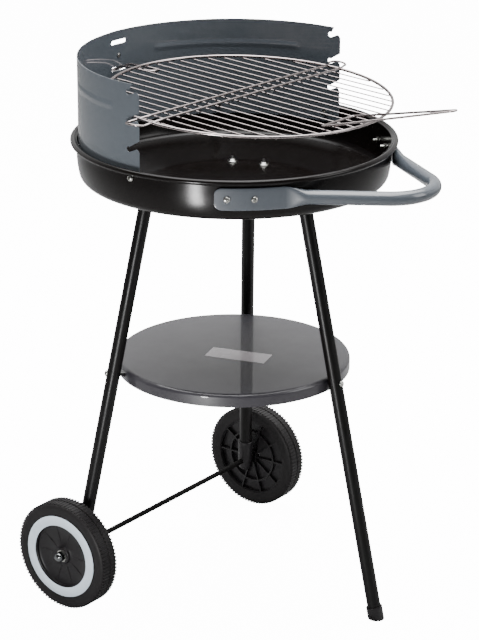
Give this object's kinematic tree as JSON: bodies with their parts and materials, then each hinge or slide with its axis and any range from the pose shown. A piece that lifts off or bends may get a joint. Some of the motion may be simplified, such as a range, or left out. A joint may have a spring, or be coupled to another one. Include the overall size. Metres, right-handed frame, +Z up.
{
  "type": "round charcoal grill",
  "caption": "Round charcoal grill on three tube legs: black enamel bowl, grey two-part windshield with grate notches, wire grate with handle, tube handle, lower shelf and two wheels.",
  "frame": {"origin": "centre of the underside of the bounding box, at the floor the foot and the wheels stand on", "axes": "+Z up; -Y is the front, where the tube handle and the front leg are; +X is across, along the wheel axle"},
  "size_m": [0.521, 0.6366, 0.808],
  "materials": {
    "bowl_enamel": "glossy black enamel on sheet steel",
    "grey_paint": "satin grey powder coat with a faint metallic look",
    "black_paint": "satin black paint on steel tube",
    "chromed_wire": "chrome plated wire",
    "zinc_plate": "bright zinc plated steel",
    "black_plastic": "moulded black plastic",
    "tyre_tread": "matte moulded plastic tyre",
    "white_trim": "smooth white plastic ring"
  },
  "bodies": {
    "stand": {"windshield_left": "grey_paint", "windshield_right": "grey_paint", "windshield_screw_1": "zinc_plate", "windshield_nut_1": "zinc_plate", "windshield_screw_2": "zinc_plate", "windshield_nut_2": "zinc_plate", "windshield_screw_3": "zinc_plate", "windshield_nut_3": "zinc_plate", "windshield_screw_4": "zinc_plate", "windshield_nut_4": "zinc_plate", "windshield_screw_5": "zinc_plate", "windshield_nut_5": "zinc_plate", "seam_rivet_1": "zinc_plate", "seam_rivet_2": "zinc_plate", "bowl": "bowl_enamel", "handle": "grey_paint", "handle_screw_1": "zinc_plate", "handle_nut_1": "zinc_plate", "handle_screw_2": "zinc_plate", "handle_nut_2": "zinc_plate", "handle_screw_3": "zinc_plate", "handle_nut_3": "zinc_plate", "handle_screw_4": "zinc_plate", "handle_nut_4": "zinc_plate", "leg_front": "black_paint", "leg_socket_front": "black_paint", "leg_nut_front_1": "zinc_plate", "leg_nut_front_2": "zinc_plate", "shelf_screw_front": "zinc_plate", "leg_left": "black_paint", "leg_socket_left": "black_paint", "leg_nut_left_1": "zinc_plate", "leg_nut_left_2": "zinc_plate", "shelf_screw_left": "zinc_plate", "leg_right": "black_paint", "leg_socket_right": "black_paint", "leg_nut_right_1": "zinc_plate", "leg_nut_right_2": "zinc_plate", "shelf_screw_right": "zinc_plate", "foot_cap": "black_plastic", "axle_bush_left": "black_plastic", "axle_bush_right": "black_plastic", "shelf": "grey_paint", "axle": "zinc_plate", "axle_washer_left": "zinc_plate", "axle_nut_left": "zinc_plate", "axle_washer_right": "zinc_plate", "axle_nut_right": "zinc_plate"},
    "grate": {"cooking_grate": "chromed_wire", "grate_crossbar": "chromed_wire", "grate_handle": "chromed_wire", "grate_tongue": "chromed_wire"},
    "wheel_left": {"tyre_left": "tyre_tread", "wheel_disc_left": "black_plastic", "trim_ring_left": "white_trim"},
    "wheel_right": {"tyre_right": "tyre_tread", "wheel_disc_right": "black_plastic", "trim_ring_right": "white_trim"}
  },
  "joints": [
    {"name": "wheel_left_spin", "type": "hinge", "parent": "stand", "child": "wheel_left", "pos_m": [-0.235, 0.21134, 0.082], "axis": [1, 0, 0], "continuous": true},
    {"name": "wheel_right_spin", "type": "hinge", "parent": "stand", "child": "wheel_right", "pos_m": [0.235, 0.21134, 0.082], "axis": [1, 0, 0], "continuous": true},
    {"name": "grate_lift", "type": "slide", "parent": "stand", "child": "grate", "axis": [-0.0466, -0.8898, 0.454], "range_m": [0, 0.06]}
  ]
}
